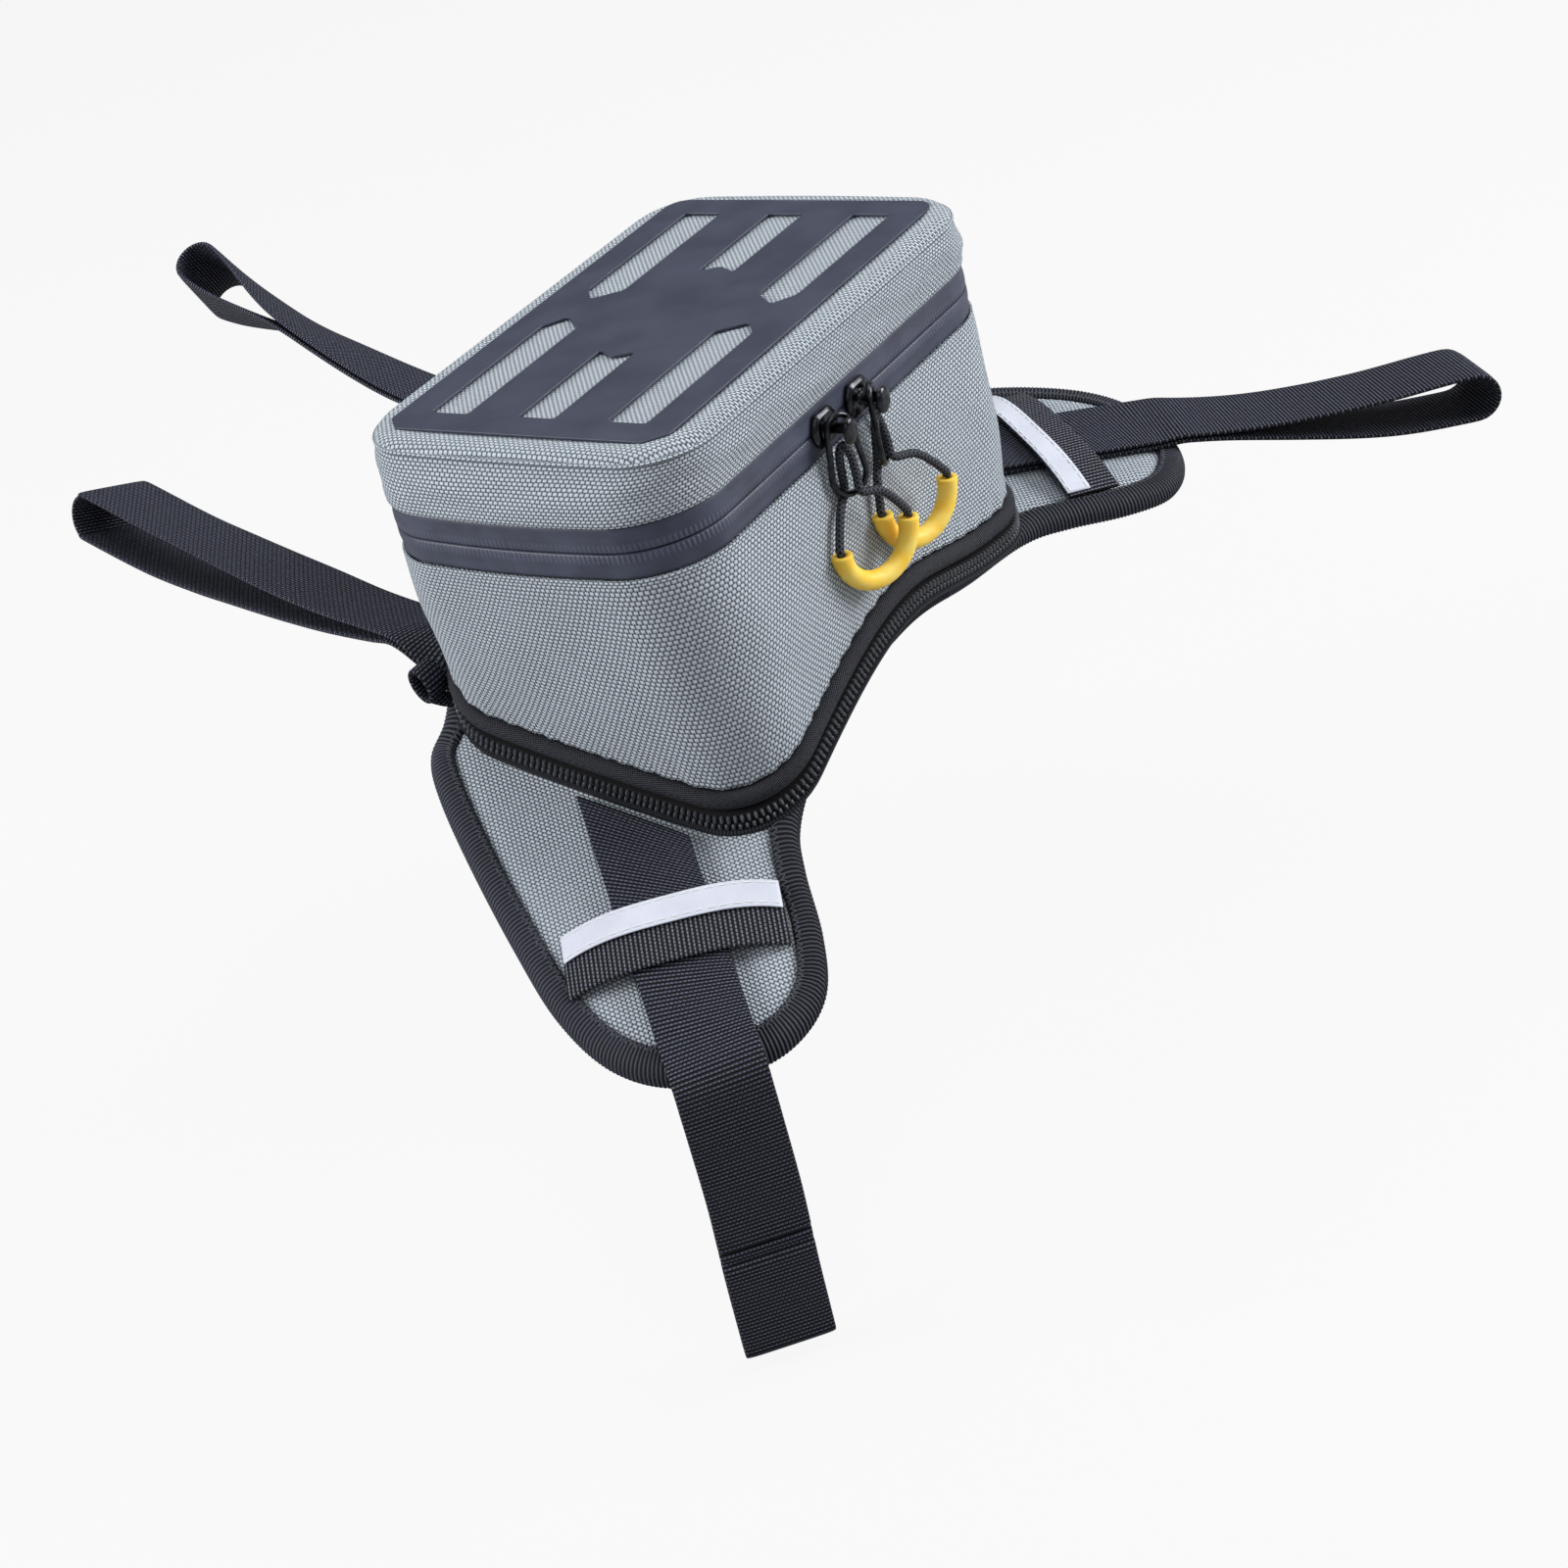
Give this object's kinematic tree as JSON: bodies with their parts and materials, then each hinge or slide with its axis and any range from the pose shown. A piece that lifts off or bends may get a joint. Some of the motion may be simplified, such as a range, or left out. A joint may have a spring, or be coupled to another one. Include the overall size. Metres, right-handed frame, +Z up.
{
  "type": "motorcycle tank bag",
  "caption": "Small box-shaped tank bag with a zipped lid and amber pulls, zipped onto a padded harness with wings, reflective strips and webbing straps.",
  "frame": {"origin": "middle of the harness underside, where it sits on the crown of the tank", "axes": "+X towards the rider, +Y towards the tank's other side in the picture, +Z up along the lid's normal"},
  "size_m": [0.473, 0.4116, 0.2559],
  "materials": {
    "woven_fabric": "coarse woven, matte",
    "coated_rubber": "satin",
    "grip_rubber": "matte",
    "foam": "matte foam",
    "lining": "smooth lining",
    "board": "matte",
    "webbing": "ribbed webbing, matte",
    "zip_coil": "satin nylon",
    "reflective": "satin silver film",
    "black_metal": "glossy black",
    "amber_rubber": "semi-gloss"
  },
  "bodies": {
    "harness": {"harness_cover": "woven_fabric", "harness_foam": "foam", "harness_grip_sheet": "grip_rubber", "harness_binding": "webbing", "base_zip_lower_tape": "webbing", "base_zip_lower_coil": "zip_coil", "strap_rear_left": "webbing", "strap_rear_right": "webbing", "strap_front_left": "webbing", "strap_front_right": "webbing", "keeper_left": "webbing", "keeper_right": "webbing", "reflector_left": "reflective", "reflector_right": "reflective", "corner_loop_left": "webbing", "corner_loop_right": "webbing"},
    "bag": {"bag_shell": "woven_fabric", "bag_liner": "lining", "bottom_board": "board", "base_piping": "webbing", "base_zip_upper_coil": "zip_coil", "zip_band_lower": "coated_rubber", "lid_hinge_strip": "webbing"},
    "lid": {"lid_shell": "woven_fabric", "lid_liner": "lining", "lid_panel": "coated_rubber", "zip_band_upper": "coated_rubber"},
    "slider_left": {"slider_left": "black_metal"},
    "bail_left": {"bail_left": "black_metal"},
    "pull_left": {"pull_cord_left": "webbing", "pull_grip_left": "amber_rubber"},
    "slider_right": {"slider_right": "black_metal"},
    "bail_right": {"bail_right": "black_metal"},
    "pull_right": {"pull_cord_right": "webbing", "pull_grip_right": "amber_rubber"},
    "base_slider": {"base_zip_slider": "black_metal"},
    "base_pull": {"base_zip_pull": "black_metal"}
  },
  "joints": [
    {"name": "bag_lift", "type": "slide", "parent": "harness", "child": "bag", "axis": [0, 0, 1], "range_m": [0, 0.12]},
    {"name": "lid_hinge", "type": "hinge", "parent": "bag", "child": "lid", "pos_m": [-0.0589, 0, 0.06595], "axis": [0, -1, 0], "range_deg": [0, 120], "deforming": ["lid_hinge_strip"]},
    {"name": "slider_left_slide", "type": "slide", "parent": "bag", "child": "slider_left", "axis": [0, -1, 0], "range_m": [0, 0.044]},
    {"name": "bail_left_swing", "type": "hinge", "parent": "slider_left", "child": "bail_left", "pos_m": [0.0642, -0.016, 0.06595], "axis": [-1, 0, 0], "range_deg": [0, 85]},
    {"name": "pull_left_swing", "type": "hinge", "parent": "bail_left", "child": "pull_left", "pos_m": [0.0642, -0.016, 0.05045], "axis": [-1, 0, 0], "range_deg": [0, 50]},
    {"name": "slider_right_slide", "type": "slide", "parent": "bag", "child": "slider_right", "axis": [0, 1, 0], "range_m": [0, 0.056]},
    {"name": "bail_right_swing", "type": "hinge", "parent": "slider_right", "child": "bail_right", "pos_m": [0.0642, 0.004, 0.06595], "axis": [1, 0, 0], "range_deg": [0, 85]},
    {"name": "pull_right_swing", "type": "hinge", "parent": "bail_right", "child": "pull_right", "pos_m": [0.0642, 0.004, 0.05045], "axis": [1, 0, 0], "range_deg": [0, 50]},
    {"name": "base_slider_slide", "type": "slide", "parent": "harness", "child": "base_slider", "axis": [0, 1, 0], "range_m": [-0.008, 0.008]},
    {"name": "base_pull_swing", "type": "hinge", "parent": "base_slider", "child": "base_pull", "pos_m": [-0.0636, 0, 0.02418], "axis": [-1, 0, 0], "range_deg": [0, 160]}
  ]
}
